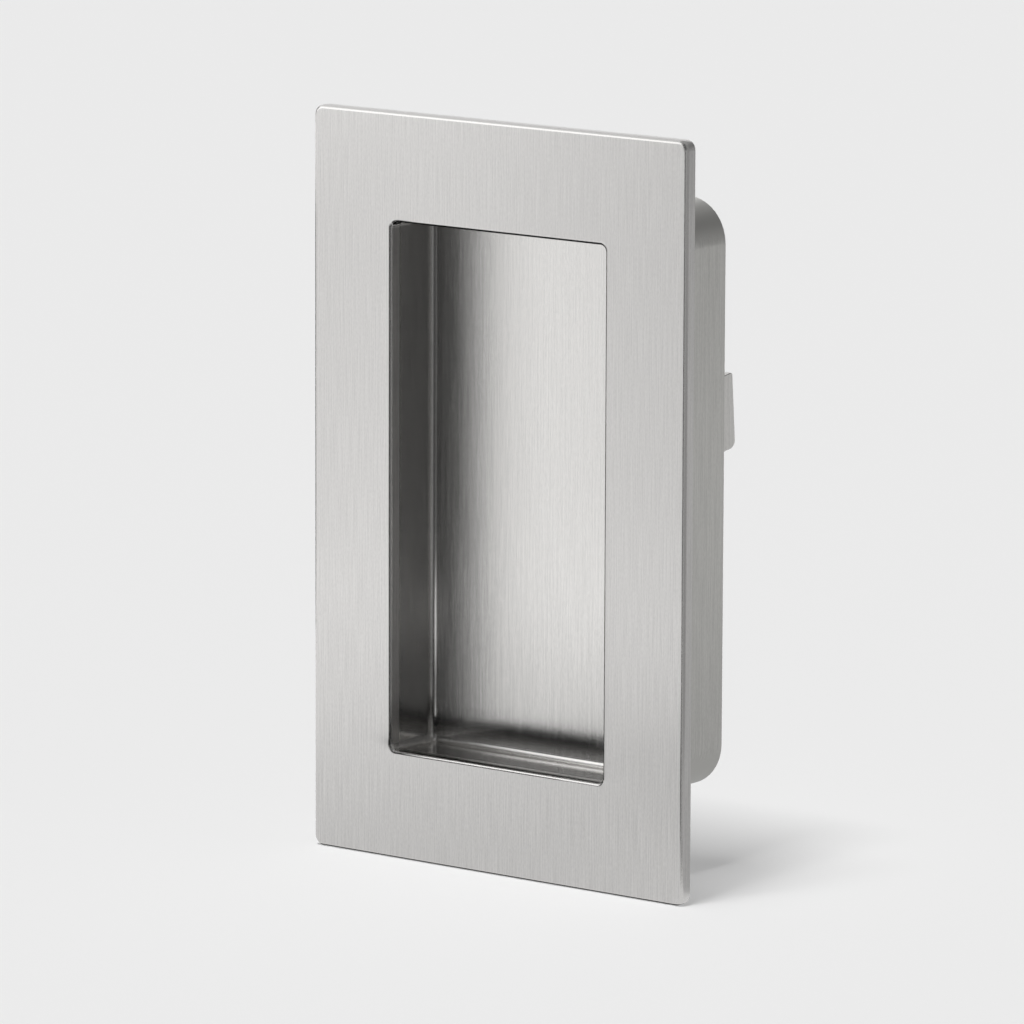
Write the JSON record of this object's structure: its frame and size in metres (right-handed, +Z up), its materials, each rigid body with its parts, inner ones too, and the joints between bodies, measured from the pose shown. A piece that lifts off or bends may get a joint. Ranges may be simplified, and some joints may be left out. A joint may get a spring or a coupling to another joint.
{
  "type": "pocket door pull",
  "caption": "Rectangular flush pull in brushed stainless steel: a face plate with a shallow finger recess, and a deep rear housing that sets into a sliding door.",
  "frame": {"origin": "centre of the face plate's back, in the plane of the door's face", "axes": "+Z up along the plate's long side, +Y into the door, the hand reaches from -Y"},
  "size_m": [0.074, 0.0307, 0.12],
  "materials": {
    "brushed_face": "vertical brushed satin",
    "brushed_pan": "vertical brushed satin",
    "brushed_housing": "vertical brushed satin",
    "brushed_lug": "fine satin"
  },
  "bodies": {
    "root": {"face_plate": "brushed_face", "recess_pan": "brushed_pan", "rear_housing": "brushed_housing", "locating_lug": "brushed_lug"}
  },
  "joints": []
}
